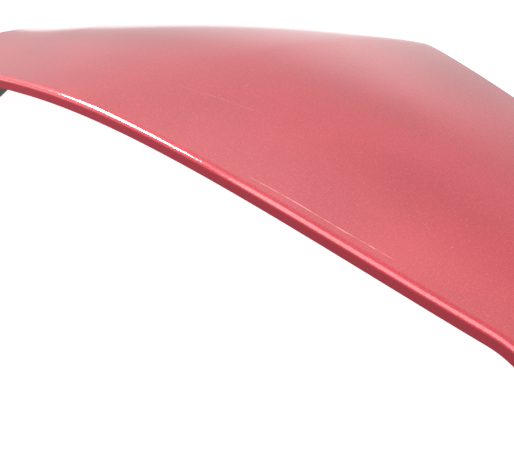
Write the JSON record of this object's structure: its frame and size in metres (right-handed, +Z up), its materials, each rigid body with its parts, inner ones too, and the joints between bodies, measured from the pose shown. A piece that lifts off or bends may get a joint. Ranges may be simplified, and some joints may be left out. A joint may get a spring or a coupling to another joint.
{
  "type": "rear wing",
  "caption": "Arched, tapered rear wing in a red moulded shell on two black uprights, with slotted brackets that set its angle and feet that bolt to a deck.",
  "frame": {"origin": "centre of the bounding box in X and Y, on the deck plane under the feet", "axes": "+X along the span, +Y from the leading edge to the trailing edge, +Z up"},
  "size_m": [1.02, 0.25, 0.1103],
  "materials": {
    "red_paint": "clear-coated metallic red",
    "red_paint_lower": "clear-coated metallic red, satin below",
    "dark_laminate": "dark glass laminate",
    "bond_strip": "raw laminate",
    "black_nylon": "moulded black",
    "black_laminate": "black gel coat",
    "gasket_rubber": "closed-cell rubber",
    "black_aluminium": "black anodised",
    "bare_aluminium": "machined",
    "bronze": "turned bronze",
    "washer_nylon": "nylon",
    "pointer_paint": "orange paint",
    "steel": "zinc-plated and stainless"
  },
  "bodies": {
    "stand": {"angle_scales": "bare_aluminium", "foot_joint_bolts": "steel", "foot_joint_nuts": "steel", "foot_left": "black_aluminium", "foot_right": "black_aluminium", "friction_washers": "washer_nylon", "gasket_left": "gasket_rubber", "gasket_right": "gasket_rubber", "lock_bolts": "steel", "lock_nuts": "steel", "lock_washers": "steel", "pivot_bolts": "steel", "pivot_nuts": "steel", "pivot_washers": "steel", "scale_rivets": "steel", "spreader": "black_aluminium", "spreader_plugs": "bare_aluminium", "spreader_screws": "steel", "upright_left": "black_aluminium", "upright_right": "black_aluminium"},
    "wing": {"bracket_left": "black_aluminium", "bracket_right": "black_aluminium", "bracket_screws": "steel", "bracket_washers": "steel", "end_fence_left": "black_laminate", "end_fence_right": "black_laminate", "fence_screws": "steel", "lower_skin": "red_paint_lower", "main_spar": "dark_laminate", "mount_block_left": "bare_aluminium", "mount_block_right": "bare_aluminium", "nose_strip": "bond_strip", "pivot_bushes": "bronze", "pointers": "pointer_paint", "rear_spar": "dark_laminate", "rib_left_1": "dark_laminate", "rib_left_2": "dark_laminate", "rib_left_3": "dark_laminate", "rib_left_4": "dark_laminate", "rib_left_5": "dark_laminate", "rib_right_1": "dark_laminate", "rib_right_2": "dark_laminate", "rib_right_3": "dark_laminate", "rib_right_4": "dark_laminate", "rib_right_5": "dark_laminate", "saddle_left": "black_nylon", "saddle_right": "black_nylon", "strake_left": "black_laminate", "strake_right": "black_laminate", "tip_cap_left": "red_paint", "tip_cap_right": "red_paint", "tip_inserts": "bronze", "upper_skin": "red_paint"}
  },
  "joints": [
    {"name": "wing_angle", "type": "hinge", "parent": "stand", "child": "wing", "pos_m": [0, -0.015, 0.046], "axis": [1, 0, 0], "range_deg": [-8, 6]}
  ]
}
